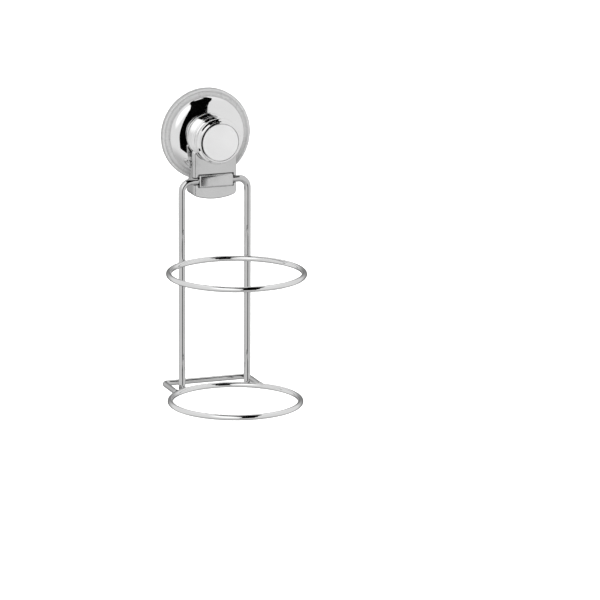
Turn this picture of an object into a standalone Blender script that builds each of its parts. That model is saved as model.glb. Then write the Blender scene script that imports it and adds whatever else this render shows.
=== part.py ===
"""Wall holder for a hair dryer: a screw-down suction mount that carries a hooked-in wire basket.

Metres, +Z up.  The origin is the centre of the suction pad's flat rear face, which lies on the wall
plane y = 0.  The holder stands out from the wall along -Y, so a part's depth d is its -y.
"""
import math

import bmesh
import bpy
from mathutils import Matrix, Vector

MM = 0.001
GAP = 0.3 * MM                    # clearance kept between faces that touch on the real object

# Suction mount, turned about the hub axis (the Y axis)
PAD_RADIUS = 33.5 * MM
PAD_FACE = 3.2 * MM               # depth of the pad's flat front
DISH_RADIUS = 28.2 * MM
DISH_RIM = 3.6 * MM               # depth where the dish's rim stands on the pad
DISH_EDGE = 4.6 * MM              # depth where the dome leaves the rim
SHOULDER_RADIUS = 16.8 * MM       # flat on top of the dome, also the collar's radius
SHOULDER = 10.6 * MM
DISH_WALL = 1.8 * MM
BOSS_RADIUS = 12.3 * MM
BOSS_BORE = 10.4 * MM
BOSS_END = 20.0 * MM
STUD_RADIUS = 3.9 * MM
STUD_END = 31.9 * MM
STUD_GROOVE_RADIUS = 3.3 * MM

# Knob and what turns with it
KNOB_TRAVEL = 3.0 * MM            # outward travel when the knob is fully slackened
KNOB_BACK = 25.4 * MM
KNOB_RADIUS = 16.6 * MM
KNOB_SHOULDER = 31.6 * MM         # depth of the flat shoulder round the raised rim
KNOB_RIM_RADIUS = 14.9 * MM
KNOB_LIP = 34.9 * MM
KNOB_FACE = 35.2 * MM
CAP_RADIUS = 13.3 * MM
CAP_BACK = 33.6 * MM
NUT_FRONT = 27.1 * MM

# Hanger: collar round the boss with a tongue hanging from it
COLLAR_BACK = 12.0 * MM
COLLAR_FRONT = 24.0 * MM
TONGUE_FRONT = 23.0 * MM
TONGUE_NECK = 18.6 * MM           # depth of the tongue's rear edge beside the collar ...
TONGUE_BACK = 7.0 * MM            # ... and at its lower end, which reaches back past the dish
TONGUE_NECK_Z = -17.0 * MM        # the rear edge sweeps from one to the other between these heights
TONGUE_BACK_Z = -37.0 * MM
TONGUE_HALF_WIDTH = 16.2 * MM
TONGUE_END_RADIUS = 43.5 * MM     # its lower end is an arc about the hub axis
TONGUE_CORNER = 3.0 * MM
TONGUE_WALL = 2.0 * MM

# Wire basket
FRAME_WIRE = 2.5 * MM             # wire radius of the back frame
RING_WIRE = 2.0 * MM              # wire radius of the rings and of the wall spacer
FRAME_DEPTH = 21.8 * MM
FRAME_HALF_WIDTH = 24.8 * MM
FRAME_BEND = 7.0 * MM
CROSSBAR_Z = -29.8 * MM
UPPER_RING_RADIUS = 48.1 * MM
LOWER_RING_RADIUS = 46.5 * MM
UPPER_RING_Z = -88.2 * MM
LOWER_RING_Z = -181.8 * MM
SPACER_HALF_WIDTH = 32.0 * MM
SPACER_BEND = 4.0 * MM
CLIP_HALF_WIDTH = 12.5 * MM
CLIP_HALF_HEIGHT = 4.6 * MM
CLIP_FRONT = 26.2 * MM

ROUND_STEPS = 48
SMALL_STEPS = 24
RING_STEPS = 60


def clear_scene():
    for obj in list(bpy.data.objects):
        bpy.data.objects.remove(obj, do_unlink=True)


def material(name, colour, metallic, roughness, alpha=1.0):
    mat = bpy.data.materials.new(name)
    mat.use_nodes = True
    shader = mat.node_tree.nodes["Principled BSDF"]
    shader.inputs["Base Color"].default_value = (*colour, 1.0)
    shader.inputs["Metallic"].default_value = metallic
    shader.inputs["Roughness"].default_value = roughness
    shader.inputs["Alpha"].default_value = alpha
    return mat


def place(name, bm, mat=None, pivot=(0.0, 0.0, 0.0)):
    """Turn a bmesh drawn in world coordinates into an object whose origin is the pivot."""
    bmesh.ops.remove_doubles(bm, verts=bm.verts, dist=0.00001)
    bmesh.ops.recalc_face_normals(bm, faces=bm.faces)
    bmesh.ops.translate(bm, verts=bm.verts, vec=-Vector(pivot))
    mesh = bpy.data.meshes.new(name)
    bm.to_mesh(mesh)
    bm.free()
    mesh.shade_smooth()
    mesh.set_sharp_from_angle(angle=math.radians(35))
    obj = bpy.data.objects.new(name, mesh)
    obj.location = pivot
    bpy.context.collection.objects.link(obj)
    if mat:
        mesh.materials.append(mat)
    return obj


def point(radius, depth):
    """A profile point at +X of the hub axis."""
    return Vector((radius, -depth, 0.0))


def arc(start, end, steps):
    """Quarter ellipse between two (radius, depth) points that leaves the start along the depth axis."""
    (r0, d0), (r1, d1) = start, end
    turns = [0.5 * math.pi * i / steps for i in range(steps + 1)]
    return [(r1 + (r0 - r1) * math.cos(t), d0 + (d1 - d0) * math.sin(t)) for t in turns]


def turned(name, profile, mat=None, steps=ROUND_STEPS):
    """Spin a profile of (radius, depth) points about the hub axis.

    A profile that starts and ends on the axis stays open there, any other one is a closed loop.
    """
    bm = bmesh.new()
    verts = [bm.verts.new(point(r, d)) for r, d in profile]
    edges = [bm.edges.new(pair) for pair in zip(verts, verts[1:])]
    if profile[0][0] > 0:
        edges.append(bm.edges.new((verts[-1], verts[0])))
    bmesh.ops.spin(bm, geom=verts + edges, cent=(0, 0, 0), axis=(0, 1, 0),
                   angle=2 * math.pi, steps=steps, use_merge=True)
    return place(name, bm, mat)


def slab(name, outline, direction, mat=None):
    """Extrude a closed outline of points along a direction."""
    bm = bmesh.new()
    face = bm.faces.new([bm.verts.new(p) for p in outline])
    moved = bmesh.ops.extrude_face_region(bm, geom=[face])["geom"]
    bmesh.ops.translate(bm, vec=direction, verts=[v for v in moved if isinstance(v, bmesh.types.BMVert)])
    return place(name, bm, mat)


def block(name, x, depth, z):
    """A box cutter between two values of x, depth and z."""
    outline = [(x[0], -depth[0], z[0]), (x[1], -depth[0], z[0]),
               (x[1], -depth[0], z[1]), (x[0], -depth[0], z[1])]
    return slab(name, outline, (0.0, depth[0] - depth[1], 0.0))


def swept_wire(name, path, plane_normal, radius, mat=None, closed=False, sides=12, pivot=(0, 0, 0)):
    """Carry a round section along a path that lies in one plane."""
    bm = bmesh.new()
    normal = Vector(plane_normal)
    path = [Vector(p) for p in path]
    last = len(path) - 1
    sections = []
    for i, centre in enumerate(path):
        before = path[i - 1] if closed or i > 0 else centre
        after = path[(i + 1) % len(path)] if closed or i < last else centre
        side = (after - before).normalized().cross(normal)
        turns = [2 * math.pi * (k + 0.5) / sides for k in range(sides)]
        sections.append([bm.verts.new(centre + radius * (math.cos(t) * side + math.sin(t) * normal))
                         for t in turns])
    joined = list(zip(sections, sections[1:]))
    if closed:
        joined.append((sections[-1], sections[0]))
    for one, two in joined:
        for k in range(sides):
            bm.faces.new((one[k], one[(k + 1) % sides], two[(k + 1) % sides], two[k]))
    if not closed:
        bm.faces.new(sections[0])
        bm.faces.new(sections[-1])
    return place(name, bm, mat, pivot)


def corner(centre, radius, start_deg, end_deg, steps=6):
    """Points of a bend in its own plane, as (u, v) pairs."""
    angles = [math.radians(start_deg + (end_deg - start_deg) * i / steps) for i in range(steps + 1)]
    return [(centre[0] + radius * math.cos(a), centre[1] + radius * math.sin(a)) for a in angles]


def combine(obj, other, operation):
    """Apply an exact Boolean with a hidden helper object."""
    other.hide_render = True
    other.display_type = "WIRE"
    change = obj.modifiers.new(other.name, "BOOLEAN")
    change.operation = operation
    change.solver = "EXACT"
    change.object = other


# ---------------------------------------------------------------- suction mount

def suction_pad(mat):
    """Soft PVC disc with a beaded rim and a socket that holds the stud's flange."""
    bead = [(PAD_RADIUS, 0.6 * MM), (PAD_RADIUS, 2.6 * MM), (33.1 * MM, 3.5 * MM),
            (32.3 * MM, 3.8 * MM), (31.5 * MM, 3.5 * MM), (31.0 * MM, PAD_FACE)]
    socket = [(7.5 * MM, PAD_FACE), (7.5 * MM, 6.0 * MM), (4.3 * MM, 6.0 * MM), (4.3 * MM, 5.3 * MM),
              (6.4 * MM, 5.3 * MM), (6.4 * MM, 3.2 * MM), (0.0, 3.2 * MM)]
    return turned("suction_pad", [(0.0, 0.0), (33.0 * MM, 0.0)] + bead + socket, mat)


def stud(mat):
    """Draw stud bonded into the pad, with a groove for the retaining ring near its end."""
    groove = (30.15 * MM, 31.45 * MM)
    profile = [(0.0, 3.5 * MM), (6.0 * MM, 3.5 * MM), (6.0 * MM, 5.0 * MM), (STUD_RADIUS, 5.0 * MM),
               (STUD_RADIUS, groove[0]), (STUD_GROOVE_RADIUS, groove[0]),
               (STUD_GROOVE_RADIUS, groove[1]), (3.6 * MM, groove[1]), (3.6 * MM, STUD_END), (0.0, STUD_END)]
    return turned("stud", profile, mat, SMALL_STEPS)


def stud_retainer(mat):
    """Ring that stops the knob's nut at the end of its travel."""
    inner = STUD_GROOVE_RADIUS + GAP
    back = NUT_FRONT + KNOB_TRAVEL + 0.35 * MM
    front = back + 0.7 * MM
    profile = [(inner, back), (6.2 * MM, back), (6.2 * MM, front), (inner, front)]
    return turned("stud_retainer", profile, mat, SMALL_STEPS)


def pressure_cup(mat):
    """Stiff inner cup that presses the pad on the wall and guides the stud."""
    sleeve = 7.0 * MM
    bore = STUD_RADIUS + 0.7 * MM
    profile = [(bore, 6.6 * MM), (17.5 * MM, 6.2 * MM), (21.4 * MM, 4.6 * MM),
               (21.4 * MM, PAD_FACE + GAP), (24.0 * MM, PAD_FACE + GAP), (24.0 * MM, 4.7 * MM),
               (21.5 * MM, 6.4 * MM), (18.3 * MM, 7.5 * MM), (16.5 * MM, 8.3 * MM),
               (sleeve, 8.3 * MM), (sleeve, 19.0 * MM), (bore, 19.0 * MM)]
    return turned("pressure_cup", profile, mat)


def dish_dome(growth):
    """The dome's outline from rim to shoulder, moved out from its surface by growth."""
    return arc((DISH_RADIUS + growth, DISH_EDGE), (SHOULDER_RADIUS, SHOULDER + growth), 8)


def dish_cover(mat):
    """Plated domed cover with the boss that the collar turns on."""
    profile = ([(BOSS_BORE, BOSS_END), (BOSS_RADIUS, BOSS_END), (BOSS_RADIUS, SHOULDER)]
               + dish_dome(0.0)[::-1] + [(DISH_RADIUS, DISH_RIM), (DISH_RADIUS - DISH_WALL, DISH_RIM)]
               + dish_dome(-DISH_WALL) + [(BOSS_BORE, SHOULDER - DISH_WALL)])
    return turned("dish_cover", profile, mat)


# ---------------------------------------------------------------- hanger

def washer(name, inner, outer, back, front, mat):
    profile = [(inner, back), (outer, back), (outer, front), (inner, front)]
    return turned(name, profile, mat)


def tongue_outline():
    """Front view of the tongue: straight sides, a lower end on an arc about the hub, round corners."""
    half = TONGUE_HALF_WIDTH
    inset = half - TONGUE_CORNER
    drop = -math.sqrt((TONGUE_END_RADIUS - TONGUE_CORNER) ** 2 - inset ** 2)
    swing = math.degrees(math.atan2(inset, -drop))
    left = corner((-inset, drop), TONGUE_CORNER, 180.0, 270.0 - swing)
    right = corner((inset, drop), TONGUE_CORNER, 270.0 + swing, 360.0)
    end = corner((0.0, 0.0), TONGUE_END_RADIUS, 270.0 - swing, 270.0 + swing)[1:-1]
    top = -8.0 * MM
    return [(-half, top)] + left + end + right + [(half, top)]


def tongue_rear(z):
    """Depth of the tongue's rear edge at a height: an even sweep back from the neck to the lower end."""
    t = (TONGUE_NECK_Z - z) / (TONGUE_NECK_Z - TONGUE_BACK_Z)
    t = min(max(t, 0.0), 1.0)
    return TONGUE_NECK + (TONGUE_BACK - TONGUE_NECK) * (3 * t ** 2 - 2 * t ** 3)


def tongue_side():
    """Side view of the tongue as (depth, z) points."""
    steps = 10
    bottom = -TONGUE_END_RADIUS - MM
    heights = [TONGUE_NECK_Z + (TONGUE_BACK_Z - TONGUE_NECK_Z) * i / steps for i in range(steps + 1)]
    rear = [(tongue_rear(z), z) for z in [-4.0 * MM] + heights + [bottom]]
    return rear + [(TONGUE_FRONT, bottom), (TONGUE_FRONT, -4.0 * MM)]


def hanger(mat):
    """Plated collar with a hollow-backed tongue, grooved in front for the basket's crossbar."""
    bore = BOSS_RADIUS + GAP
    groove = 16.2 * MM
    profile = [(bore, COLLAR_BACK), (SHOULDER_RADIUS, COLLAR_BACK), (SHOULDER_RADIUS, 20.2 * MM),
               (groove, 20.6 * MM), (groove, 21.2 * MM), (SHOULDER_RADIUS, 21.6 * MM),
               (SHOULDER_RADIUS, 23.5 * MM), (16.3 * MM, COLLAR_FRONT), (bore, COLLAR_FRONT)]
    collar = turned("hanger", profile, mat)
    reach = 2 * TONGUE_HALF_WIDTH
    side_view = [(-reach, -d, z) for d, z in tongue_side()]
    tongue = slab("tongue_guide", side_view, (2 * reach, 0.0, 0.0))
    front_view = [(x, 0.0, z) for x, z in tongue_outline()]
    combine(tongue, slab("outline_guide", front_view, (0.0, -2 * TONGUE_FRONT, 0.0)), "INTERSECT")
    core = 0.5 * (bore + groove)
    within = [(0.0, 0.0), (core, 0.0), (core, 2 * TONGUE_FRONT), (0.0, 2 * TONGUE_FRONT)]
    combine(tongue, turned("core_cutter", within), "DIFFERENCE")
    combine(collar, tongue, "UNION")
    for cutter in hanger_cutters():
        combine(collar, cutter, "DIFFERENCE")
    return collar


def hanger_cutters():
    """The hollow back, and the groove for crossbar and clip."""
    rear = 2.0 * MM
    bottom = -TONGUE_END_RADIUS + 4.5 * MM
    inside = TONGUE_HALF_WIDTH - TONGUE_WALL
    floor = FRAME_DEPTH - FRAME_WIRE - GAP
    yield block("hollow_cutter", (-inside, inside), (rear, floor - TONGUE_WALL), (bottom, -21.0 * MM))
    cradle = FRAME_WIRE + GAP
    slot = CLIP_HALF_HEIGHT + GAP
    width = CLIP_HALF_WIDTH + GAP
    outer = TONGUE_HALF_WIDTH + 2.0 * MM
    front = TONGUE_FRONT + 2.0 * MM
    yield block("cradle_cutter", (-outer, outer), (floor, front), (CROSSBAR_Z - cradle, CROSSBAR_Z + cradle))
    yield block("slot_cutter", (-width, width), (floor - 0.1 * MM, front), (CROSSBAR_Z - slot, CROSSBAR_Z + slot))


def frame_clip(mat):
    """Snap-in channel that closes the groove over the crossbar, with its front edges rounded."""
    leg = FRAME_WIRE + GAP
    high = CLIP_HALF_HEIGHT
    back = FRAME_DEPTH - FRAME_WIRE + GAP
    inner = FRAME_DEPTH + FRAME_WIRE + GAP
    bend = 1.6 * MM
    lower = corner((CLIP_FRONT - bend, -high + bend), bend, -90.0, 0.0, 4)
    upper = corner((CLIP_FRONT - bend, high - bend), bend, 0.0, 90.0, 4)
    outline = [(back, -high)] + lower + upper + [(back, high), (back, leg), (inner, leg), (inner, -leg), (back, -leg)]
    side = [(-CLIP_HALF_WIDTH, -d, CROSSBAR_Z + z) for d, z in outline]
    return slab("frame_clip", side, (2 * CLIP_HALF_WIDTH, 0.0, 0.0), mat)


# ---------------------------------------------------------------- knob

def knob_body(mat):
    """Plated knob: rear sleeve, flat shoulder, raised rim, a pocket for the nut and a seat for the cap."""
    seat = CAP_RADIUS + GAP
    edge = [(KNOB_RADIUS, KNOB_SHOULDER - MM), (KNOB_RADIUS - 0.4 * MM, KNOB_SHOULDER - 0.3 * MM),
            (KNOB_RIM_RADIUS, KNOB_SHOULDER), (KNOB_RIM_RADIUS, KNOB_LIP - 0.3 * MM),
            (KNOB_RIM_RADIUS - 0.3 * MM, KNOB_LIP)]
    profile = ([(6.3 * MM, 20.9 * MM), (9.4 * MM, 20.9 * MM), (9.4 * MM, KNOB_BACK),
                (KNOB_RADIUS - 0.6 * MM, KNOB_BACK), (KNOB_RADIUS, KNOB_BACK + 0.6 * MM)] + edge
               + [(seat, KNOB_LIP), (seat, CAP_BACK - GAP), (12.0 * MM, CAP_BACK - GAP),
                  (12.0 * MM, 27.6 * MM), (8.1 * MM, 27.6 * MM), (8.1 * MM, KNOB_BACK), (6.3 * MM, KNOB_BACK)])
    return turned("knob_body", profile, mat)


def knob_nut(mat):
    """Flanged brass nut moulded into the knob."""
    bore = STUD_RADIUS + GAP
    shoulder = KNOB_BACK + GAP
    profile = [(bore, 21.4 * MM), (6.0 * MM, 21.4 * MM), (6.0 * MM, shoulder), (7.8 * MM, shoulder),
               (7.8 * MM, NUT_FRONT), (bore, NUT_FRONT)]
    return turned("knob_nut", profile, mat, SMALL_STEPS)


def knob_cap(mat):
    """Flat face disc pressed into the front of the knob."""
    profile = [(0.0, CAP_BACK), (CAP_RADIUS, CAP_BACK), (CAP_RADIUS, 34.8 * MM),
               (CAP_RADIUS - 0.5 * MM, KNOB_FACE), (0.0, KNOB_FACE)]
    return turned("knob_cap", profile, mat)


# ---------------------------------------------------------------- wire basket

PIVOT = (0.0, -FRAME_DEPTH, CROSSBAR_Z)      # the basket swings about its crossbar


def ring_depth(ring_radius):
    """Depth of a ring's centre, so that its outside lies against both uprights."""
    reach = ring_radius + RING_WIRE + FRAME_WIRE + GAP
    return FRAME_DEPTH + math.sqrt(reach ** 2 - FRAME_HALF_WIDTH ** 2)


def ring_path(ring_radius, z):
    depth = ring_depth(ring_radius)
    angles = [2 * math.pi * i / RING_STEPS for i in range(RING_STEPS)]
    return [(ring_radius * math.cos(a), -depth + ring_radius * math.sin(a), z) for a in angles]


def back_frame(mat):
    """Thick wire bent to an upside-down U: two uprights and the crossbar."""
    inset = FRAME_HALF_WIDTH - FRAME_BEND
    bend_z = CROSSBAR_Z - FRAME_BEND
    foot = LOWER_RING_Z - RING_WIRE
    path = [(-FRAME_HALF_WIDTH, foot)] + corner((-inset, bend_z), FRAME_BEND, 180.0, 90.0)
    path += corner((inset, bend_z), FRAME_BEND, 90.0, 0.0) + [(FRAME_HALF_WIDTH, foot)]
    path = [(x, -FRAME_DEPTH, z) for x, z in path]
    return swept_wire("back_frame", path, (0, 1, 0), FRAME_WIRE, mat, pivot=PIVOT)


def ring(name, ring_radius, z, mat):
    """Closed wire ring that the dryer's barrel drops through."""
    return swept_wire(name, ring_path(ring_radius, z), (0, 0, 1), RING_WIRE, mat, True, 10, PIVOT)


def wall_spacer(mat):
    """Wire loop behind the lower ring; its rear run lies on the wall and its ends saddle the ring."""
    rear = RING_WIRE + GAP
    inset = SPACER_HALF_WIDTH - SPACER_BEND
    end = ring_depth(LOWER_RING_RADIUS) - math.sqrt(LOWER_RING_RADIUS ** 2 - SPACER_HALF_WIDTH ** 2)
    bend = rear + SPACER_BEND
    path = [(-SPACER_HALF_WIDTH, -end)] + corner((-inset, -bend), SPACER_BEND, 180.0, 90.0)
    path += corner((inset, -bend), SPACER_BEND, 90.0, 0.0) + [(SPACER_HALF_WIDTH, -end)]
    path = [(x, y, LOWER_RING_Z) for x, y in path]
    spacer = swept_wire("wall_spacer", path, (0, 0, 1), RING_WIRE, mat, sides=10, pivot=PIVOT)
    around = ring_path(LOWER_RING_RADIUS, LOWER_RING_Z)
    cutter = swept_wire("saddle_cutter", around, (0, 0, 1), RING_WIRE + 1.3 * GAP, closed=True, sides=16)
    combine(spacer, cutter, "DIFFERENCE")
    return spacer


# ---------------------------------------------------------------- assembly

def hold(children, name, pivot):
    """Parent pieces to an empty on their joint's axis without moving them."""
    empty = bpy.data.objects.new(name, None)
    empty.location = pivot
    bpy.context.collection.objects.link(empty)
    for child in children:
        child.parent = empty
        child.matrix_parent_inverse = Matrix.Translation(-Vector(pivot))


def build():
    clear_scene()
    frosted = material("frosted_pvc", (0.72, 0.74, 0.75), 0.0, 0.35, 0.6)
    steel = material("plated_steel", (0.62, 0.62, 0.6), 1.0, 0.3)
    spring = material("spring_steel", (0.5, 0.5, 0.5), 1.0, 0.35)
    black = material("black_abs", (0.03, 0.03, 0.03), 0.0, 0.45)
    chrome = material("chrome_plate", (0.86, 0.87, 0.88), 1.0, 0.06)
    satin = material("satin_chrome", (0.74, 0.75, 0.76), 1.0, 0.25)
    brass = material("brass", (0.8, 0.62, 0.28), 1.0, 0.3)
    nylon = material("nylon", (0.85, 0.85, 0.82), 0.0, 0.5)
    wire = material("chromed_wire", (0.84, 0.85, 0.86), 1.0, 0.08)

    suction_pad(frosted)
    stud(steel)
    stud_retainer(spring)
    pressure_cup(black)
    dish_cover(chrome)
    washer("collar_washer", BOSS_RADIUS + GAP, 16.2 * MM, SHOULDER + GAP, SHOULDER + 1.1 * MM, nylon)
    hanging = [hanger(chrome), frame_clip(satin)]
    slip = washer("slip_washer", 9.8 * MM, 15.2 * MM, COLLAR_FRONT + GAP, COLLAR_FRONT + 1.1 * MM, nylon)
    turning = [knob_body(chrome), knob_nut(brass), knob_cap(satin)]
    basket = [back_frame(wire), ring("upper_ring", UPPER_RING_RADIUS, UPPER_RING_Z, wire),
              ring("lower_ring", LOWER_RING_RADIUS, LOWER_RING_Z, wire), wall_spacer(wire)]
    hold(hanging, "hub_axis", (0.0, 0.0, 0.0))
    hold([slip] + turning, "knob_axis", (0.0, -KNOB_BACK, 0.0))
    hold(basket, "crossbar_axis", PIVOT)


build()
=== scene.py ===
"""Wall holder for a hair dryer, put together from the wall outwards.

Metres, +Z up.  The suction pad's rear face lies on the plane y = 0 round the hub axis (the Y axis) and
everything stands out towards -Y, so a depth below is a distance from the wall.
"""
import math

import bmesh
import bpy
import numpy as np
from mathutils import Matrix, Vector


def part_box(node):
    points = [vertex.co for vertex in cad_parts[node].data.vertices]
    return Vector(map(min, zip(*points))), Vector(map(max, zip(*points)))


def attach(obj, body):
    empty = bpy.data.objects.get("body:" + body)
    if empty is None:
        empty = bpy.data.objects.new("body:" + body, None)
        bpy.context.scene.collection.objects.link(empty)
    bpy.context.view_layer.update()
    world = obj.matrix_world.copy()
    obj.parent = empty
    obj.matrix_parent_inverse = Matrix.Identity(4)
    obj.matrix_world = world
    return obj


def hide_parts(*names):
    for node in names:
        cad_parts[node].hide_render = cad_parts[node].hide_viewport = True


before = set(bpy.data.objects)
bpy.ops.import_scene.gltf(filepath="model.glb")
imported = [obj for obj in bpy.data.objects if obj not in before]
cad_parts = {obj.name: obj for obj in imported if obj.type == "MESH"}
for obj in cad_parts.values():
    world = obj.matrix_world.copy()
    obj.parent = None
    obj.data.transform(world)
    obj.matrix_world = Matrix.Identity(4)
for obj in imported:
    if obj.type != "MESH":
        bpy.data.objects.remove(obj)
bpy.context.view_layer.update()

MM = 0.001

# ---------------------------------------------------------------- suction pad
# A soft PVC disc that clings to the tile.  It is moulded in one shot, translucent and faintly smoky,
# with a bead round its edge, sealing rings on its back and a socket that grips the stud's flange.


def rounded(corners, steps=6):
    """Turn a polygon into a smooth outline.

    Each corner is (u, v, radius).  Where the radius is above zero the corner gives way to an arc that
    touches both neighbouring sides: its centre lies on the bisector, radius / sin(half angle) away.
    """
    corners = [np.array(c, float) for c in corners]
    outline = []
    for i, corner in enumerate(corners):
        at, radius = corner[:2], corner[2]
        if radius <= 0:
            outline.append(at[None])
            continue
        a = corners[i - 1][:2] - at
        b = corners[(i + 1) % len(corners)][:2] - at
        a, b = a / np.linalg.norm(a), b / np.linalg.norm(b)
        half = 0.5 * math.acos(np.clip(a @ b, -1.0, 1.0))
        middle = at + (a + b) / np.linalg.norm(a + b) * radius / math.sin(half)
        tangent = radius / math.tan(half)
        first, last = at + a * tangent - middle, at + b * tangent - middle
        sweep = math.pi - 2 * half
        t = np.linspace(0.0, 1.0, steps + 1)[:, None]
        arc = (np.sin((1 - t) * sweep) * first + np.sin(t * sweep) * last) / math.sin(sweep)
        outline.append(middle + arc)
    return np.vstack(outline)


def surface(name, points, wrap_rows=False, wrap_columns=True, caps=False):
    """Mesh a grid of points (rows, columns, 3) with four-sided faces and merge its poles and seams.

    With caps the first and the last row are each closed with one flat face.
    """
    rows, columns = points.shape[:2]
    index = np.arange(rows * columns).reshape(rows, columns)
    if wrap_rows:
        index = np.vstack([index, index[:1]])
    if wrap_columns:
        index = np.hstack([index, index[:, :1]])
    quads = np.stack([index[:-1, :-1], index[:-1, 1:], index[1:, 1:], index[1:, :-1]], -1).reshape(-1, 4)
    faces = quads.tolist()
    if caps:
        faces += [index[0, :columns][::-1].tolist(), index[-1, :columns].tolist()]
    mesh = bpy.data.meshes.new(name)
    mesh.from_pydata(points.reshape(-1, 3).tolist(), [], faces)
    bm = bmesh.new()
    bm.from_mesh(mesh)
    bmesh.ops.remove_doubles(bm, verts=bm.verts, dist=1e-6)
    bmesh.ops.dissolve_degenerate(bm, edges=bm.edges, dist=1e-7)
    bmesh.ops.recalc_face_normals(bm, faces=bm.faces)
    bm.to_mesh(mesh)
    bm.free()
    mesh.shade_smooth()
    mesh.set_sharp_from_angle(angle=math.radians(38))
    obj = bpy.data.objects.new(name, mesh)
    bpy.context.scene.collection.objects.link(obj)
    return obj


def turned(name, outline, columns=160, wrap=True):
    """Turn an outline of (radius, depth) about the hub axis.

    Point (i, j) is (r_i cos a_j, -d_i, r_i sin a_j).  With wrap the outline closes on itself,
    otherwise it starts and ends on the axis.
    """
    outline = np.asarray(outline)
    a = np.linspace(0.0, 2 * math.pi, columns, endpoint=False)
    r, d = outline[:, :1], outline[:, 1:]
    points = np.stack([r * np.cos(a), -d + 0 * a, r * np.sin(a)], -1)
    return surface(name, points, wrap_rows=wrap)


def shader(name, colour, metallic, roughness, **sockets):
    """A material with a Principled shader, its plain values set on the shader's own sockets."""
    mat = bpy.data.materials.new(name)
    mat.use_nodes = True
    node = mat.node_tree.nodes["Principled BSDF"]
    node.inputs["Base Color"].default_value = (*colour, 1.0)
    node.inputs["Metallic"].default_value = metallic
    node.inputs["Roughness"].default_value = roughness
    for socket, value in sockets.items():
        node.inputs[socket.replace("_", " ")].default_value = value
    return mat


def grain(mat, scale, low, high, detail=4.0, stretch=(1.0, 1.0, 1.0)):
    """Noise on Object coordinates, mapped onto the range from low to high; returns its output."""
    nodes, links = mat.node_tree.nodes, mat.node_tree.links
    where = nodes.new("ShaderNodeTexCoord")
    mapping = nodes.new("ShaderNodeMapping")
    mapping.inputs["Scale"].default_value = stretch
    noise = nodes.new("ShaderNodeTexNoise")
    noise.inputs["Scale"].default_value = scale
    noise.inputs["Detail"].default_value = detail
    spread = nodes.new("ShaderNodeMapRange")
    spread.inputs["From Min"].default_value = 0.3
    spread.inputs["From Max"].default_value = 0.7
    spread.inputs["To Min"].default_value = low
    spread.inputs["To Max"].default_value = high
    links.new(where.outputs["Object"], mapping.inputs["Vector"])
    links.new(mapping.outputs["Vector"], noise.inputs["Vector"])
    links.new(noise.outputs["Fac"], spread.inputs["Value"])
    return spread.outputs["Result"]


def tint(mat, factor, dark, light):
    """Blend the base colour between two tones by a factor."""
    nodes, links = mat.node_tree.nodes, mat.node_tree.links
    ramp = nodes.new("ShaderNodeValToRGB")
    ramp.color_ramp.elements[0].color = (*dark, 1.0)
    ramp.color_ramp.elements[1].color = (*light, 1.0)
    links.new(factor, ramp.inputs["Fac"])
    links.new(ramp.outputs["Color"], nodes["Principled BSDF"].inputs["Base Color"])


def bumped(mat, height, strength, distance):
    """Feed a height into the shader's normal."""
    nodes, links = mat.node_tree.nodes, mat.node_tree.links
    bump = nodes.new("ShaderNodeBump")
    bump.inputs["Strength"].default_value = strength
    bump.inputs["Distance"].default_value = distance
    links.new(height, bump.inputs["Height"])
    links.new(bump.outputs["Normal"], nodes["Principled BSDF"].inputs["Normal"])


def roughened(mat, factor):
    """Let a factor drive the roughness."""
    mat.node_tree.links.new(factor, mat.node_tree.nodes["Principled BSDF"].inputs["Roughness"])


def fit(obj, mat, body, slot, *nodes):
    """Give a finished piece its material and body and hide the CAD nodes that it stands for; slot is not
    used.
    """
    obj.data.materials.append(mat)
    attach(obj, body)
    if nodes:
        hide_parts(*nodes)


pad_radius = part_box("suction_pad")[1].x
pad_face = 3.2 * MM
pvc = shader("frosted_pvc", (0.66, 0.66, 0.66), 0.0, 0.3, IOR=1.47, Transmission_Weight=0.12)


def bead_highlight_and_shade(mat, stops):
    """Tone by distance from the hub axis: a painted highlight along the top of the bead, painted shade
    beside it and at the rim.

    The factor is sqrt(x^2 + z^2) / pad radius, with a little noise; stops are (factor, grey).
    """
    nodes, links = mat.node_tree.nodes, mat.node_tree.links
    where = nodes.new("ShaderNodeTexCoord")
    flat = nodes.new("ShaderNodeVectorMath")
    flat.operation = "MULTIPLY"
    flat.inputs[1].default_value = (1.0 / pad_radius, 0.0, 1.0 / pad_radius)
    radius = nodes.new("ShaderNodeVectorMath")
    radius.operation = "LENGTH"
    drift = nodes.new("ShaderNodeMath")
    drift.operation = "ADD"
    ramp = nodes.new("ShaderNodeValToRGB")
    ramp.color_ramp.elements[0].position, ramp.color_ramp.elements[1].position = stops[0][0], stops[-1][0]
    for at, _ in stops[1:-1]:
        ramp.color_ramp.elements.new(at)
    for element, (at, grey) in zip(ramp.color_ramp.elements, stops):
        element.color = (grey, grey, grey, 1.0)
    links.new(where.outputs["Object"], flat.inputs[0])
    links.new(flat.outputs["Vector"], radius.inputs[0])
    links.new(radius.outputs["Value"], drift.inputs[0])
    links.new(grain(mat, 90.0, -0.003, 0.003), drift.inputs[1])
    links.new(drift.outputs["Value"], ramp.inputs["Fac"])
    links.new(ramp.outputs["Color"], nodes["Principled BSDF"].inputs["Base Color"])


# Painted light on the pad: the light stop at 0.95 is a painted highlight on the bead, the dark stops from
# 0.905 to 0.93 and from 0.985 on are painted shade beside it and at the rim.
bead_highlight_and_shade(pvc, [(0.80, 0.66), (0.86, 0.70), (0.885, 0.70), (0.905, 0.60), (0.93, 0.60), (0.95, 0.78),
                  (0.975, 0.70), (0.985, 0.52), (1.0, 0.42)])
roughened(pvc, grain(pvc, 140.0, 0.22, 0.34))
bumped(pvc, grain(pvc, 300.0, 0.0, 1.0), 0.05, 0.00003)


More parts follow.
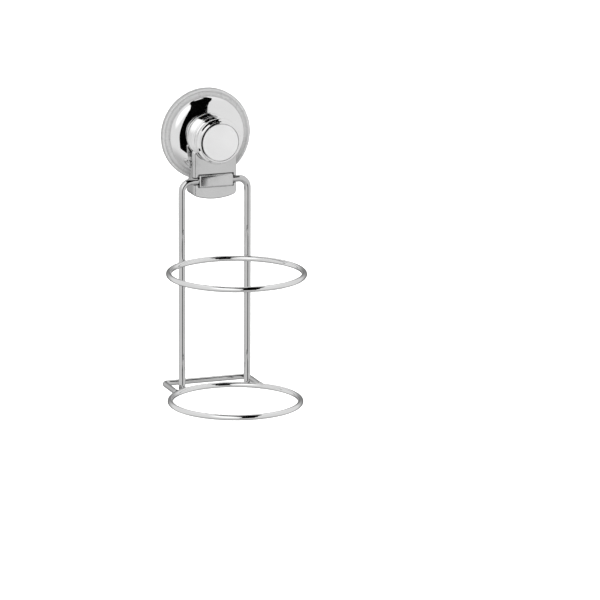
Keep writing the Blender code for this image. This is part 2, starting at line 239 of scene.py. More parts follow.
def pad_outline():
    """Half section of the pad: ribbed back, beaded edge, flat front and the socket in its middle."""
    back = [(0.0, 0.0, 0.0), (26.0 * MM, 0.0, 0.0)]
    for ring in (27.0, 29.0, 31.0):
        back += [((ring - 0.35) * MM, 0.0, 0.0), (ring * MM, 0.3 * MM, 0.15 * MM),
                 ((ring + 0.35) * MM, 0.0, 0.0)]
    edge = [(33.2 * MM, 0.0, 0.2 * MM), (pad_radius, 0.5 * MM, 0.3 * MM),
            (pad_radius, 3.0 * MM, 0.6 * MM), (32.6 * MM, 3.9 * MM, 0.5 * MM),
            (31.6 * MM, 3.7 * MM, 0.4 * MM), (31.0 * MM, pad_face, 0.5 * MM)]
    socket = [(7.5 * MM, pad_face, 0.3 * MM), (7.5 * MM, 6.0 * MM, 0.4 * MM),
              (4.3 * MM, 6.0 * MM, 0.2 * MM), (4.3 * MM, 5.3 * MM, 0.1 * MM),
              (6.4 * MM, 5.3 * MM, 0.1 * MM), (6.4 * MM, pad_face, 0.1 * MM),
              (0.0, pad_face, 0.0)]
    return rounded(back + edge + socket)


suction_pad = turned("pad_skin", pad_outline(), wrap=False)
fit(suction_pad, pvc, "mount_base", "frosted_pvc", "suction_pad")

# ---------------------------------------------------------------- draw stud
# Zinc-plated steel stud, its flange moulded into the pad.  The knob's nut runs on its coarse two-start
# thread and so pulls the pad's middle away from the wall.

stud_root = 3.5 * MM
stud_end = -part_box("stud")[0].y
thread_lead = 4.0 * MM
zinc = shader("zinc_plate", (0.62, 0.62, 0.59), 1.0, 0.32)
tint(zinc, grain(zinc, 220.0, 0.0, 1.0), (0.54, 0.54, 0.52), (0.68, 0.68, 0.66))
roughened(zinc, grain(zinc, 500.0, 0.22, 0.42))


def threaded_stud(rows=240, columns=48):
    """Stud as r(d, a): flange, plain neck, two-start thread, retaining groove and chamfered end.

    In the threaded stretch the radius rides a triangle wave of phase 2 (a / 2 pi - d / lead), so its
    crests climb one lead a turn.
    """
    d = np.linspace(stud_root, stud_end, rows)[:, None]
    a = np.linspace(0.0, 2 * math.pi, columns, endpoint=False)[None]
    phase = (2 * (a / (2 * math.pi) - d / thread_lead)) % 1.0
    crest = 1.0 - np.abs(2 * phase - 1.0)
    neck_end, thread_end = 9.0 * MM, 30.0 * MM
    inside = np.clip((d - neck_end) / MM, 0.0, 1.0) * np.clip((thread_end - d) / MM, 0.0, 1.0)
    outer, depth_cut = 3.88 * MM, 0.55 * MM
    r = outer - depth_cut * inside * (1.0 - np.clip(2.2 * crest - 0.6, 0.0, 1.0))
    r = np.where(d < 5.0 * MM, 6.0 * MM, r)
    r = np.where((d > 30.2 * MM) & (d < 31.4 * MM), 3.3 * MM, r)
    r = np.minimum(r, 3.1 * MM + (stud_end - d))
    points = np.stack([r * np.cos(a), -d + 0 * a, r * np.sin(a)], -1)
    ends = [np.repeat(np.array([[[0.0, -depth, 0.0]]]), columns, axis=1) for depth in (stud_root, stud_end)]
    return surface("stud_threaded", np.concatenate([ends[0], points, ends[1]]))


fit(threaded_stud(), zinc, "mount_base", "plated_steel", "stud")

# ---------------------------------------------------------------- stud retainer
# Spring-steel ring snapped into the groove at the stud's end; the nut runs against it when the knob is
# slackened.

steel = shader("spring_steel", (0.42, 0.42, 0.43), 1.0, 0.35)
tint(steel, grain(steel, 300.0, 0.0, 1.0), (0.34, 0.34, 0.36), (0.5, 0.5, 0.5))
roughened(steel, grain(steel, 700.0, 0.28, 0.45))


def carried(name, path, side, normal, section, closed=False):
    """Carry a section of (u, v) points along a path: point (i, j) = path_i + u_j side_i + v_j normal_i."""
    path, side, normal = (np.asarray(x, float) for x in (path, side, normal))
    u, v = np.asarray(section).T
    points = path[:, None] + u[None, :, None] * side[:, None] + v[None, :, None] * normal[:, None]
    return surface(name, points, wrap_rows=closed, caps=not closed)


def retainer_ring():
    """A flat-wire ring open over 50 degrees, its section carried along the arc."""
    low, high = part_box("stud_retainer")
    outer, inner, back, front = high.x, 3.6 * MM, -high.y, -low.y
    a = np.radians(np.linspace(-65.0, 245.0, 90))
    out = np.stack([np.cos(a), 0 * a, np.sin(a)], -1)
    path = out * 0.5 * (outer + inner) + np.array([0.0, -0.5 * (back + front), 0.0])
    w, h = 0.5 * (outer - inner), 0.5 * (front - back)
    section = rounded([(-w, -h, 0.12 * MM), (w, -h, 0.12 * MM), (w, h, 0.12 * MM), (-w, h, 0.12 * MM)], 3)
    return carried("retainer_ring", path, out, np.tile([0.0, -1.0, 0.0], (len(a), 1)), section)


fit(retainer_ring(), steel, "mount_base", "spring_steel", "stud_retainer")

# ---------------------------------------------------------------- pressure cup
# Stiff black ABS cup hidden under the dish.  Its rim presses the pad's edge on the wall, its sleeve
# guides the stud, and twelve ribs carry the load between them.

abs_black = shader("black_abs", (0.03, 0.03, 0.032), 0.0, 0.45)
tint(abs_black, grain(abs_black, 90.0, 0.0, 1.0), (0.02, 0.02, 0.022), (0.045, 0.045, 0.048))
roughened(abs_black, grain(abs_black, 400.0, 0.38, 0.55))


def cup_with_ribs(columns=192, ribs=12):
    """Half section of the cup turned about the hub axis, its upper face raised into radial ribs.

    Between the sleeve and the rim the front surface moves out by h max(0, cos(ribs a))^6.
    """
    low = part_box("pressure_cup")[0]
    sleeve_end, rim = -low.y, -low.x
    outline = rounded([
        (4.6 * MM, 6.6 * MM, 0.2 * MM), (17.5 * MM, 6.2 * MM, 2.0 * MM), (21.4 * MM, 4.6 * MM, 0.5 * MM),
        (21.4 * MM, 3.5 * MM, 0.2 * MM), (rim, 3.5 * MM, 0.3 * MM), (rim, 4.7 * MM, 0.5 * MM),
        (21.5 * MM, 6.2 * MM, 1.0 * MM), (16.5 * MM, 7.4 * MM, 1.0 * MM), (7.0 * MM, 7.7 * MM, 0.4 * MM),
        (7.0 * MM, sleeve_end, 0.3 * MM), (4.6 * MM, sleeve_end, 0.3 * MM)])
    a = np.linspace(0.0, 2 * math.pi, columns, endpoint=False)
    r, d = outline[:, :1], outline[:, 1:]
    front = (d > 0.3 * (rim - r) + 4.6 * MM) & (r > 7.05 * MM) & (r < 22.0 * MM)
    d = d + 0.55 * MM * front * np.maximum(0.0, np.cos(ribs * a)) ** 6
    points = np.stack([r * np.cos(a), -d, r * np.sin(a)], -1)
    return surface("cup_ribbed", points, wrap_rows=True)


fit(cup_with_ribs(), abs_black, "mount_base", "black_abs", "pressure_cup")

# ---------------------------------------------------------------- dish cover
# Bright chrome-plated ABS dome that hides the cup.  Its lip stands on the pad just inside the bead and
# the boss in its middle is what the hanger's collar turns on.


def chrome(name, light, dark, low, high, waviness):
    """Plated finish: a metal whose tone, gloss and flatness drift slightly, as polished plating does."""
    mat = shader(name, light, 1.0, low)
    tint(mat, grain(mat, 35.0, 0.0, 1.0, 3.0), dark, light)
    roughened(mat, grain(mat, 260.0, low, high, 6.0))
    bumped(mat, grain(mat, 70.0, 0.0, 1.0, 2.0), waviness, 0.0001)
    return mat


dish_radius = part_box("dish_cover")[1].x
boss_end = -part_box("dish_cover")[0].y
dish_edge, shoulder_radius, shoulder = 4.6 * MM, 16.8 * MM, 10.6 * MM
dish_wall = 1.8 * MM
plated = chrome("chrome_plated_abs", (0.93, 0.93, 0.93), (0.88, 0.88, 0.88), 0.03, 0.07, 0.03)


def dome(growth, steps=40):
    """Quarter ellipse from rim to shoulder, a little steeper beside the collar.

    r = r1 + (r0 - r1) c and d = d0 + (d1 - d0) sin t - 1.3 mm c (1 - c)^2, where c = cos t.
    """
    t = np.linspace(0.0, 0.5 * math.pi, steps)
    c = np.cos(t)
    dip = 1.3 * MM * c * (1.0 - c) ** 2
    r = shoulder_radius + (dish_radius + growth - shoulder_radius) * c
    d = dish_edge + (shoulder + growth - dish_edge) * np.sin(t) - dip
    return np.stack([r, d], -1)


def dish_outline():
    """Boss, shoulder, dome and turned-in lip outside; the same 1.8 mm further in on the inside."""
    boss = rounded([(10.4 * MM, shoulder - dish_wall, 0.5 * MM), (10.4 * MM, boss_end, 0.3 * MM),
                    (12.3 * MM, boss_end, 0.4 * MM), (12.3 * MM, shoulder, 0.3 * MM)])
    lip = rounded([(dish_radius, 4.4 * MM, 0.0), (dish_radius, 3.6 * MM, 0.3 * MM),
                   (dish_radius - dish_wall, 3.6 * MM, 0.3 * MM), (dish_radius - dish_wall, 4.4 * MM, 0.0)])
    return np.vstack([boss[3:], dome(0.0)[::-1], lip, dome(-dish_wall), boss[:3]])


fit(turned("dish_dome", dish_outline(), 224), plated, "mount_base", "plated_abs", "dish_cover")

# ---------------------------------------------------------------- collar washer
# Natural nylon ring on the dish's shoulder, so that the plated collar turns without scuffing the dome.

nylon = shader("natural_nylon", (0.84, 0.84, 0.81), 0.0, 0.5, Subsurface_Weight=0.1)
tint(nylon, grain(nylon, 120.0, 0.0, 1.0), (0.78, 0.78, 0.74), (0.88, 0.88, 0.86))
roughened(nylon, grain(nylon, 300.0, 0.42, 0.58))


def flat_ring(name, node, inner):
    """Ring with softened edges, its outer size and its two faces taken from the frame."""
    low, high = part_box(node)
    soft = 0.15 * MM
    return turned(name, rounded([(inner, -high.y, soft), (high.x, -high.y, soft),
                                 (high.x, -low.y, soft), (inner, -low.y, soft)], 3))


fit(flat_ring("collar_slip_ring", "collar_washer", 12.6 * MM), nylon, "mount_base", "nylon",
    "collar_washer")

# ---------------------------------------------------------------- hanger
# Plated collar that sits on the boss, with a deep tongue below it, moulded in one and hollow at the back.
# Across the tongue's front runs the groove that takes the basket's crossbar.

collar_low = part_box("hanger")[0]
collar_front = -collar_low.y
tongue_front = 23.0 * MM
tongue_half = 16.2 * MM
tongue_end = -collar_low.z
neck_depth, foot_depth = 18.6 * MM, 7.0 * MM
neck_z, foot_z = -17.0 * MM, -37.0 * MM
frame_low, frame_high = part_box("back_frame")
crossbar = Vector((0.0, 0.5 * (frame_low.y + frame_high.y), -29.8 * MM))
bar_room = 2.8 * MM


def collar_outline():
    """Half section of the collar, with the fine turned steps in front that catch the light."""
    step = 16.3 * MM
    return rounded([
        (12.6 * MM, 12.0 * MM, 0.3 * MM), (shoulder_radius, 12.0 * MM, 0.5 * MM),
        (shoulder_radius, 20.1 * MM, 0.3 * MM), (step, 20.5 * MM, 0.2 * MM), (step, 21.2 * MM, 0.2 * MM),
        (shoulder_radius, 21.6 * MM, 0.3 * MM), (shoulder_radius, 23.4 * MM, 0.5 * MM),
        (16.2 * MM, collar_front, 0.3 * MM), (12.6 * MM, collar_front, 0.3 * MM)])


def tongue_rear(z):
    """Depth of the rear edge: 3 t^2 - 2 t^3 between the neck beside the collar and the deep foot."""
    t = np.clip((neck_z - z) / (neck_z - foot_z), 0.0, 1.0)
    return neck_depth + (foot_depth - neck_depth) * (3 * t ** 2 - 2 * t ** 3)


def tongue_edge(half_count=130):
    """Front view of the tongue as a closed loop of (x, z) points, the right half mirrored from the left.

    Its lower end is an arc about the hub axis, met by 3 mm corners.
    """
    end = np.radians(np.linspace(270.0 - 17.0, 270.0, 14))
    arc = tongue_end * np.stack([np.cos(end), np.sin(end)], -1)
    top = -8.0 * MM
    corner_z = -math.sqrt(tongue_end ** 2 - tongue_half ** 2)
    left = rounded([(0.0, top, 0.0), (-tongue_half, top, 2.0 * MM), (-tongue_half, corner_z, 3.0 * MM),
                    (arc[0, 0], arc[0, 1], 0.0)])
    outline = np.vstack([left[:-1], arc])
    length = np.concatenate([[0.0], np.cumsum(np.linalg.norm(np.diff(outline, axis=0), axis=1))])
    even = np.linspace(0.0, length[-1], half_count)
    half = np.stack([np.interp(even, length, outline[:, k]) for k in (0, 1)], -1)
    return np.vstack([half, half[-2:0:-1] * (-1.0, 1.0)])


def tongue_block():
    """Solid tongue over (step from rear to front, distance round the edge).

    Rear and front faces are ruled from the centre line to the edge; the wall runs straight forward from
    the rear edge and ends in a roll, a quarter circle of 1.2 mm.
    """
    edge = tongue_edge()
    along = np.roll(edge, -1, axis=0) - np.roll(edge, 1, axis=0)
    along /= np.linalg.norm(along, axis=1, keepdims=True)
    out = np.stack([along[:, 1], -along[:, 0]], -1)
    out *= np.sign((out * (edge - edge.mean(0))).sum(1).mean())
    spine = np.column_stack([np.zeros(len(edge)), np.clip(edge[:, 1], -40.0 * MM, -10.0 * MM)])
    rear = tongue_rear(edge[:, 1])
    roll, nick = 1.2 * MM, 0.3 * MM
    rows = [np.column_stack([spine, tongue_rear(spine[:, 1])]),
            np.column_stack([edge - nick * out, tongue_rear((edge - nick * out)[:, 1])])]
    for s in np.linspace(0.0, 1.0, 9):
        rows.append(np.column_stack([edge, (rear + nick) * (1 - s) + (tongue_front - roll) * s]))
    for t in np.linspace(0.0, 0.5 * math.pi, 9)[1:]:
        rows.append(np.column_stack([edge - roll * (1 - math.cos(t)) * out,
                                     np.full(len(edge), tongue_front - roll * (1 - math.sin(t)))]))
    rows.append(np.column_stack([spine, np.full(len(edge), tongue_front)]))
    grid = np.stack(rows)
    return surface("hanger_tongue", np.stack([grid[..., 0], -grid[..., 2], grid[..., 1]], -1))


def box_piece(name, x, depth, z):
    """Plain box between two values of x, depth and z."""
    loop = ((x[0], z[0]), (x[1], z[0]), (x[1], z[1]), (x[0], z[1]))
    corners = np.array([[(sx, -d, sz) for sx, sz in loop] for d in depth])
    return surface(name, corners, caps=True)


def applied(obj, kind, **settings):
    """Add a modifier, apply it at once and throw away the object that it uses, if any."""
    change = obj.modifiers.new("step", kind)
    for key, value in settings.items():
        setattr(change, key, value)
    with bpy.context.temp_override(object=obj, active_object=obj, selected_objects=[obj]):
        bpy.ops.object.modifier_apply(modifier=change.name)
    if "object" in settings:
        bpy.data.objects.remove(settings["object"])


def mended(mesh):
    """Merge what a cut leaves behind: doubled points, slivers and pinholes."""
    bm = bmesh.new()
    bm.from_mesh(mesh)
    bmesh.ops.remove_doubles(bm, verts=bm.verts, dist=2e-6)
    bmesh.ops.dissolve_degenerate(bm, edges=bm.edges, dist=1e-6)
    bmesh.ops.holes_fill(bm, edges=[e for e in bm.edges if e.is_boundary], sides=8)
    bmesh.ops.recalc_face_normals(bm, faces=bm.faces)
    bm.to_mesh(mesh)
    bm.free()


def build_tongue():
    """Block less the collar's core, the hollow back, the groove for the bar and the one for the clip.

    Every cut leaves crisp edges, which a bevel of 0.18 mm then softens.
    """
    tongue = tongue_block()
    z = crossbar.z
    floor, front = -crossbar.y - bar_room, tongue_front + 3.0 * MM
    inside = tongue_half - 2.05 * MM
    hollow_low, hollow_high = -39.07 * MM, -21.13 * MM
    slot_half, slot_high = 12.8 * MM, 4.9 * MM
    core, core_back, core_front = 14.4 * MM, 2.0 * MM, 30.0 * MM
    tools = [
        turned("core", [(0.0, core_back), (core, core_back), (core, core_front), (0.0, core_front)], 96,
               wrap=False),
        box_piece("hollow", (-inside, inside), (MM, floor - 2.0 * MM), (hollow_low, hollow_high)),
        box_piece("cradle", (-20 * MM, 20 * MM), (floor, front), (z - bar_room, z + bar_room)),
        box_piece("slot", (-slot_half, slot_half), (floor - 0.1 * MM, front),
                  (z - slot_high, z + slot_high))]
    for tool in tools:
        applied(tongue, "BOOLEAN", operation="DIFFERENCE", solver="EXACT", object=tool)
        mended(tongue.data)
    applied(tongue, "BEVEL", width=0.18 * MM, segments=2, limit_method="ANGLE",
            angle_limit=math.radians(50), harden_normals=False)
    mended(tongue.data)
    tongue.data.set_sharp_from_angle(angle=math.radians(38))
    return tongue


dull_plated = chrome("dull_plated_abs", (0.72, 0.72, 0.72), (0.64, 0.64, 0.64), 0.05, 0.12, 0.05)
fit(turned("hanger_collar", collar_outline(), 192), plated, "hanger", "plated_abs", "hanger")
fit(build_tongue(), dull_plated, "hanger", "plated_abs", "hanger")

# ---------------------------------------------------------------- frame clip
# Springy plated channel pressed into the groove over the crossbar.  Its nose is rounded and its ends are
# dubbed off, so that a thumbnail can lift it when the basket comes down for cleaning.

clip_low, clip_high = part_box("frame_clip")
satin = chrome("satin_chrome", (0.74, 0.74, 0.74), (0.66, 0.66, 0.66), 0.1, 0.2, 0.05)


def clip_section(inset):
    """Channel section round the bar as (depth, z) points, its outside drawn in by the inset."""
    high = 0.5 * (clip_high.z - clip_low.z) - inset
    front, back = -clip_low.y - inset, -clip_high.y
    leg, inner = bar_room, -crossbar.y + bar_room
    corners = [(back, -high, 0.3 * MM), (front, -high, 1.6 * MM), (front, high, 1.6 * MM),
               (back, high, 0.3 * MM), (back, leg, 0.2 * MM), (inner, leg, 0.8 * MM),
               (inner, -leg, 0.8 * MM), (back, -leg, 0.2 * MM)]
    section = rounded(corners)
    return np.stack([-section[:, 0], crossbar.z + section[:, 1]], -1)


def clip_channel():
    """The section carried along X; a quarter-round of 0.8 mm draws its outside in at both ends."""
    round_off = 0.8 * MM
    t = np.linspace(0.0, 0.5 * math.pi, 6)
    end_x = clip_low.x + round_off * (1 - np.sin(t))
    end_inset = round_off * (1 - np.cos(t))
    x = np.concatenate([end_x[::-1], -end_x])
    sections = np.stack([clip_section(i) for i in np.concatenate([end_inset[::-1], end_inset])])
    along = np.broadcast_to(x[:, None, None], sections[..., :1].shape)
    return surface("clip_channel", np.concatenate([along, sections], -1), caps=True)


fit(clip_channel(), satin, "hanger", "satin_plated_abs", "frame_clip")

# ---------------------------------------------------------------- slip washer
# Second nylon ring, between collar and knob.  It travels with the knob, so that tightening the knob does
# not drag the hanger round with it.

fit(flat_ring("knob_slip_ring", "slip_washer", 9.8 * MM), nylon, "thrust_washer", "nylon", "slip_washer")

# ---------------------------------------------------------------- knob body
# Plated ABS knob, a short drum with a flat shoulder and a raised rim in front.  Its sleeve runs inside
# the dish's boss and its front is recessed for the nut and the cap.

knob_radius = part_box("knob_body")[1].x
knob_back, knob_seat = 25.4 * MM, 33.3 * MM
rim_outer, rim_inner = 14.9 * MM, 13.6 * MM


def knob_outline():
    """Half section: sleeve, back, side, shoulder, raised rim with a slightly conical front, recess."""
    return rounded([
        (6.3 * MM, 20.9 * MM, 0.3 * MM), (9.4 * MM, 20.9 * MM, 0.3 * MM), (9.4 * MM, knob_back, 0.2 * MM),
        (knob_radius, knob_back, 0.5 * MM), (knob_radius, 31.2 * MM, 0.6 * MM),
        (rim_outer, 31.6 * MM, 0.15 * MM), (rim_outer, 34.65 * MM, 0.2 * MM),
        (rim_inner, 34.9 * MM, 0.1 * MM), (rim_inner, knob_seat, 0.1 * MM),
        (12.0 * MM, knob_seat, 0.2 * MM), (12.0 * MM, 27.6 * MM, 0.4 * MM),
        (8.1 * MM, 27.6 * MM, 0.2 * MM), (8.1 * MM, knob_back, 0.2 * MM), (6.3 * MM, knob_back, 0.2 * MM)])


fit(turned("knob_drum", knob_outline(), 192), plated, "knob", "plated_abs", "knob_body")

# ---------------------------------------------------------------- knob nut
# Turned brass nut moulded into the knob, its flange knurled so that the plastic grips it.

brass = shader("brass", (0.78, 0.58, 0.26), 1.0, 0.28)
tint(brass, grain(brass, 200.0, 0.0, 1.0), (0.70, 0.50, 0.20), (0.84, 0.65, 0.32))
roughened(brass, grain(brass, 420.0, 0.2, 0.38))


def knurled_nut(columns=216, teeth=36):
    """Sleeve and flange turned about the hub axis, the flange's rim at r + h cos(teeth a)."""
    outline = rounded([
        (4.2 * MM, 21.4 * MM, 0.2 * MM), (6.0 * MM, 21.4 * MM, 0.3 * MM), (6.0 * MM, 25.7 * MM, 0.1 * MM),
        (7.7 * MM, 25.7 * MM, 0.3 * MM), (7.7 * MM, 27.1 * MM, 0.3 * MM), (4.2 * MM, 27.1 * MM, 0.2 * MM)])
    a = np.linspace(0.0, 2 * math.pi, columns, endpoint=False)
    r, d = outline[:, :1], outline[:, 1:]
    r = r + 0.12 * MM * (r > 7.2 * MM) * np.cos(teeth * a)
    points = np.stack([r * np.cos(a), -d + 0 * a, r * np.sin(a)], -1)
    return surface("nut_knurled", points, wrap_rows=True)


fit(knurled_nut(), brass, "knob", "brass", "knob_nut")

# ---------------------------------------------------------------- knob cap
# Flat disc pressed into the knob's front, plated like the rest but with a softer, brushed face.

cap_front = -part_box("knob_cap")[0].y
cap_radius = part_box("knob_cap")[1].x
cap_back = 33.6 * MM
cap_outline = rounded([(0.0, cap_back, 0.0), (cap_radius, cap_back, 0.2 * MM),
                       (cap_radius, 34.9 * MM, 0.2 * MM), (cap_radius - 0.4 * MM, cap_front, 0.3 * MM),
                       (0.0, cap_front, 0.0)])
brushed = shader("brushed_cap", (0.9, 0.9, 0.9), 0.35, 0.45)
tint(brushed, grain(brushed, 60.0, 0.0, 1.0), (0.86, 0.86, 0.86), (0.92, 0.92, 0.92))
roughened(brushed, grain(brushed, 300.0, 0.4, 0.5, 3.0, (1.0, 1.0, 8.0)))
fit(turned("cap_disc", cap_outline, 160, wrap=False), brushed, "knob", "satin_plated_abs", "knob_cap")

# ---------------------------------------------------------------- back frame
# Thick chromed wire bent to an upside-down U.  Its crossbar hooks into the hanger and its two uprights
# carry the rings.

# The same chrome as the rings', toned darker: painted shade on the frame, the spacer and the welds.
shaded_wire_chrome = chrome("chromed_wire", (0.67, 0.67, 0.67), (0.60, 0.60, 0.60), 0.02, 0.05, 0.03)
frame_wire = 2.5 * MM
frame_flat = 0.966       # half width over radius of the frame's many-sided CAD wire
frame_half = frame_high.x - frame_flat * frame_wire
frame_foot = frame_low.z


def bend(centre, radius, start, end, steps=14):
    """Arc about a centre as (u, v) points, the angles in degrees."""
    a = np.radians(np.linspace(start, end, steps))
    return np.array(centre) + radius * np.stack([np.cos(a), np.sin(a)], -1)


def bent_wire(name, path, normal, radius, closed=False, sides=28):
    """Carry a round section along a path that lies in one plane.

    A point is path(s) + radius (cos t side(s) + sin t normal), with side = tangent x normal.  The ends
    of an open path are dubbed off with a quarter round of 0.35 mm.
    """
    path = np.asarray(path, float)
    normal = np.array(normal, float)
    if closed:
        tangent = np.roll(path, -1, axis=0) - np.roll(path, 1, axis=0)
    else:
        tangent = np.gradient(path, axis=0)
    tangent /= np.linalg.norm(tangent, axis=1, keepdims=True)
    size = np.full(len(path), radius)
    if not closed:
        soft, steps = 0.35 * MM, 5
        t = np.linspace(0.0, 0.5 * math.pi, steps)[:, None]
        inward = soft * (1 - np.sin(t))
        shrink = soft * (1 - np.cos(t[:, 0]))
        head = path[0] + tangent[0] * inward
        tail = path[-1] - tangent[-1] * inward
        tangent = np.vstack([np.repeat(tangent[:1], steps, 0), tangent[1:-1],
                             np.repeat(tangent[-1:], steps, 0)])
        size = np.concatenate([radius - shrink[::-1], size[1:-1], radius - shrink])
        path = np.vstack([head[::-1], path[1:-1], tail])
    side = np.cross(tangent, normal)
    t = np.linspace(0.0, 2 * math.pi, sides, endpoint=False)[None, :, None]
    points = path[:, None] + size[:, None, None] * (np.cos(t) * side[:, None] + np.sin(t) * normal)
    return surface(name, points, wrap_rows=closed, caps=not closed)


def frame_path(turn=7.0 * MM):
    """Up one side, round a bend, along the crossbar, round the other bend and down again."""
    inset, top = frame_half - turn, crossbar.z
    legs = np.linspace(frame_foot, top - turn, 30)
    bar = np.linspace(-inset, inset, 16)[1:-1]
    left = np.column_stack([np.full(len(legs), -frame_half), legs])
    front = np.vstack([left[:-1], bend((-inset, top - turn), turn, 180.0, 90.0),
                       np.column_stack([bar, np.full(len(bar), top)]),
                       bend((inset, top - turn), turn, 90.0, 0.0), left[::-1][1:] * (-1.0, 1.0)])
    return np.column_stack([front[:, 0], np.full(len(front), crossbar.y), front[:, 1]])


fit(bent_wire("frame_wire", frame_path(), (0.0, 1.0, 0.0), frame_wire), shaded_wire_chrome, "basket", "chromed_wire",
    "back_frame")

# ---------------------------------------------------------------- rings
# Two closed hoops of thinner wire, butt-welded and resistance-welded to the fronts of the uprights.  The
# upper one is a little wider, so the barrel drops in easily.  The rings keep the plain tone of the chrome;
# the copy of it on the frame, the spacer and the welds is toned darker as painted shade.

bright = chrome("bright_chromed_wire", (0.88, 0.88, 0.88), (0.82, 0.82, 0.82), 0.02, 0.05, 0.03)
ring_wire = 2.0 * MM
ring_flat = 0.951        # the same ratio for the thinner wire, which has fewer sides


def hoop(node, columns=240):
    """Path of a ring round the middle of its node's box."""
    low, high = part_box(node)
    radius = 0.5 * (high.x - low.x) - ring_flat * ring_wire
    a = np.linspace(0.0, 2 * math.pi, columns, endpoint=False)
    return np.stack([radius * np.cos(a), 0.5 * (low.y + high.y) + radius * np.sin(a),
                     np.full(columns, 0.5 * (low.z + high.z))], -1)


for node in ("upper_ring", "lower_ring"):
    fit(bent_wire(node + "_hoop", hoop(node), (0.0, 0.0, 1.0), ring_wire, closed=True, sides=24), bright,
        "basket", "chromed_wire", node)

# ---------------------------------------------------------------- wall spacer
# Loop of the same wire behind the lower ring.  Its straight run leans on the tiles and keeps the basket
# hanging plumb.

spacer_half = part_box("wall_spacer")[1].x - ring_flat * ring_wire
spacer_rear = -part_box("wall_spacer")[1].y + ring_flat * ring_wire
lower = hoop("lower_ring")
lower_radius = 0.5 * (lower[:, 0].max() - lower[:, 0].min())
lower_depth = -0.5 * (lower[:, 1].max() + lower[:, 1].min())
spacer_end = lower_depth - math.sqrt(lower_radius ** 2 - spacer_half ** 2)


def spacer_path(turn=4.0 * MM):
    """Back from the ring, round a bend, along the wall and forward again."""
    inset, bend_y = spacer_half - turn, -(spacer_rear + turn)
    run = np.linspace(-(spacer_end - 0.8 * MM), bend_y, 12)
    rear = np.linspace(-inset, inset, 12)[1:-1]
    left = np.column_stack([np.full(len(run), -spacer_half), run])
    plan = np.vstack([left[:-1], bend((-inset, bend_y), turn, 180.0, 90.0),
                      np.column_stack([rear, np.full(len(rear), -spacer_rear)]),
                      bend((inset, bend_y), turn, 90.0, 0.0), left[::-1][1:] * (-1.0, 1.0)])
    return np.column_stack([plan, np.full(len(plan), lower[0, 2])])


fit(bent_wire("spacer_wire", spacer_path(), (0.0, 0.0, 1.0), ring_wire, sides=24), shaded_wire_chrome, "basket",
    "chromed_wire", "wall_spacer")

# ---------------------------------------------------------------- welds
# Small fillets of metal squeezed out where the wires were resistance-welded, plated over with the rest:
# four between rings and uprights, two where the spacer's ends butt against the lower ring.


def neck(name, start, end, waist, foot):
    """Spool round the line between two points: radius waist + (foot - waist) s^2 for s from -1 to 1."""
    start, end = np.array(start), np.array(end)
    axis = (end - start) / np.linalg.norm(end - start)
    across = np.cross(axis, (0.0, 0.0, 1.0))
    across /= np.linalg.norm(across)
    s = np.linspace(-1.0, 1.0, 13)[:, None]
    t = np.linspace(0.0, 2 * math.pi, 24, endpoint=False)[None, :, None]
    centre = start + (end - start) * 0.5 * (s + 1)
    radius = (waist + (foot - waist) * s ** 2)[:, :, None]
    points = centre[:, None] + radius * (np.cos(t) * across + np.sin(t) * np.cross(axis, across))
    return surface(name, points, caps=True)


for node in ("upper_ring", "lower_ring"):
    path = hoop(node)
    middle = 0.5 * (path[:, 1].max() + path[:, 1].min())
    radius = 0.5 * (path[:, 0].max() - path[:, 0].min())
    for side in (-1, 1):
        post = np.array((side * frame_half, crossbar.y, path[0, 2]))
        aim = np.array((post[0], post[1] - middle, 0.0))
        aim /= np.linalg.norm(aim)
        on_ring = np.array((0.0, middle, path[0, 2])) + radius * aim
        name = "weld_%s_%s" % (node, "left" if side < 0 else "right")
        fit(neck(name, on_ring + aim * 1.3 * MM, post - aim * 1.8 * MM, 1.15 * MM, 1.75 * MM), shaded_wire_chrome,
            "basket", "chromed_wire")
for side in (-1, 1):
    name = "weld_spacer_%s" % ("left" if side < 0 else "right")
    at = np.array((side * spacer_half, -spacer_end, lower[0, 2]))
    fit(neck(name, at + (0.0, 3.2 * MM, 0.0), at + (0.0, 0.6 * MM, 0.0), 2.02 * MM, 2.3 * MM), shaded_wire_chrome,
        "basket", "chromed_wire")

# ---------------------------------------------------------------- studio
# Pale floor far below the holder in a light grey room, with a soft key light and one more that evens out
# the floor behind.  Two black cards stand out of sight in front of the holder and over it: it is their
# reflections that draw the dark shapes in the chrome.

floor_paint = shader("floor_paint", (0.9, 0.9, 0.9), 0.0, 0.9)
tint(floor_paint, grain(floor_paint, 3.0, 0.0, 1.0), (0.89, 0.89, 0.89), (0.92, 0.92, 0.92))
floor_half = 14.0
floor = box_piece("floor", (-floor_half, floor_half), (-floor_half, floor_half), (-0.92, -0.9))
floor.data.materials.append(floor_paint)
floor.visible_glossy = False

target = Vector((0.06005, -0.036, -0.1196))
black_card = shader("black_card", (0.0005, 0.0005, 0.0005), 0.0, 0.9, Specular_IOR_Level=0.0)


def toward(azimuth, elevation):
    """Unit vectors from the holder; azimuth 0 is straight in front of the wall, negative to its left.

    (sin a cos e, -cos a cos e, sin e), for single angles or for arrays of them, in degrees.
    """
    a, e = np.radians(azimuth), np.radians(elevation)
    return np.stack([np.sin(a) * np.cos(e), -np.cos(a) * np.cos(e), np.sin(e) + 0 * a], -1)


def card(name, rows, centre, distance):
    """Black card on a sphere about a centre, seen only in reflections.

    Each row is (elevation, left azimuth, right azimuth) in degrees; a point runs evenly from left to
    right along every row.
    """
    rows = np.array(rows, float)
    steps = np.linspace(rows[0, 0], rows[-1, 0], 40)
    left, right = (np.interp(steps, rows[:, 0], rows[:, k])[:, None] for k in (1, 2))
    share = np.linspace(0.0, 1.0, 90)
    grid = np.array(centre) + distance * toward(left + (right - left) * share, steps[:, None])
    obj = surface(name, grid, wrap_columns=False)
    obj.data.materials.append(black_card)
    obj.visible_camera = False
    obj.visible_diffuse = False
    obj.visible_shadow = False


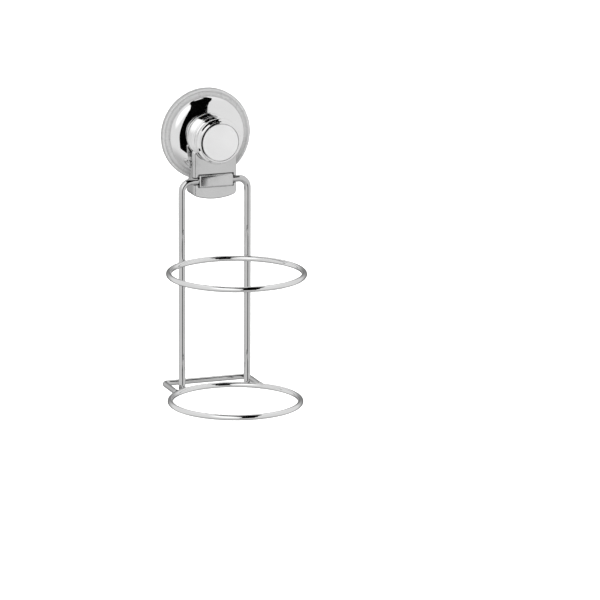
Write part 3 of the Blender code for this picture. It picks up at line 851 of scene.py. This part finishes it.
def panel(name, place, aim, size, radiance):
    """Soft square light of a given brightness, seen in no reflection: power = radiance * pi * size^2."""
    data = bpy.data.lights.new(name, "AREA")
    data.shape, data.size, data.energy = "SQUARE", size, radiance * math.pi * size ** 2
    lamp = bpy.data.objects.new(name, data)
    facing = (place - aim).normalized().to_track_quat("Z", "Y").to_matrix().to_4x4()
    lamp.matrix_world = Matrix.Translation(place) @ facing
    lamp.visible_glossy = False
    bpy.context.scene.collection.objects.link(lamp)


hub = Vector((0.0, -0.008, 0.0))
card("card_front", [(-24, -14, 12), (-16, -12, 12), (-8, -12, 12), (0, -9, 17.5), (15, -8, 18),
                    (30, -10, 22), (40, -16, 29), (50, -23, 40), (56, -29, 48), (62, -42, 66),
                    (68, -70, 80), (72, -90, 90)], hub, 1.6)
card("card_over", [(71, -180, 180), (80, -180, 180)], hub, 1.55)

window = Vector(toward(-36.0, 30.0))
panel("key", target + 2.2 * window, target, 1.7, 1.15)
panel("sweep", Vector((1.25, 3.5, 0.7)), Vector((1.25, 3.5, -0.9)), 5.0, 1.5)


def pale_room(level, patches):
    """World of even brightness with round patches, each given as (aim, least cosine, full cosine, change).

    The strength is level + the sum of change * smoothstep(ray . aim) over the patches.
    """
    room = bpy.data.worlds.new("pale_room")
    room.use_nodes = True
    nodes, links = room.node_tree.nodes, room.node_tree.links
    ray = nodes.new("ShaderNodeTexCoord")
    total = None
    for aim, least, full, change in patches:
        facing = nodes.new("ShaderNodeVectorMath")
        facing.operation = "DOT_PRODUCT"
        facing.inputs[1].default_value = aim
        rise = nodes.new("ShaderNodeMapRange")
        rise.interpolation_type = "SMOOTHSTEP"
        rise.inputs["From Min"].default_value = least
        rise.inputs["From Max"].default_value = full
        rise.inputs["To Max"].default_value = change
        links.new(ray.outputs["Generated"], facing.inputs[0])
        links.new(facing.outputs["Value"], rise.inputs["Value"])
        added = nodes.new("ShaderNodeMath")
        added.operation = "ADD"
        added.inputs[1].default_value = level
        links.new(rise.outputs["Result"], added.inputs[0])
        if total is not None:
            links.new(total.outputs["Value"], added.inputs[1])
        total = added
    links.new(total.outputs["Value"], nodes["Background"].inputs["Strength"])
    nodes["Background"].inputs["Color"].default_value = (1.0, 1.0, 1.0, 1.0)
    return room


# A darker patch behind the holder outlines the round wires, a bright one is the window that the dish
# mirrors, and the ceiling is a little lighter than the walls and the ground darker.
forward = -Vector(toward(-20.3, 13.66))
bpy.context.scene.world = pale_room(0.80, [(forward, 0.55, 0.97, -0.62),
                                           (window, 0.86, 0.98, 0.50),
                                           (Vector((0.0, 0.0, 1.0)), 0.55, 0.95, 0.10),
                                           (Vector((0.0, 0.0, -1.0)), 0.40, 0.85, -0.32)])
bpy.context.scene.view_settings.view_transform = "Standard"

# ---------------------------------------------------------------- camera
# Long lens, a little above the basket and to its left, looking forward.

distance = 3.955
level = forward.cross(Vector((0.0, 0.0, 1.0))).normalized()
roll = math.radians(0.25)
right = level * math.cos(roll) + level.cross(forward) * math.sin(roll)
up = right.cross(forward)
lens = bpy.data.cameras.new("camera")
lens.lens, lens.sensor_width, lens.clip_end = 330.0, 36.0, 60.0
camera = bpy.data.objects.new("camera", lens)
camera.matrix_world = (Matrix.Translation(target - forward * distance)
                       @ Matrix((right, up, -forward)).transposed().to_4x4())
bpy.context.scene.collection.objects.link(camera)
bpy.context.scene.camera = camera
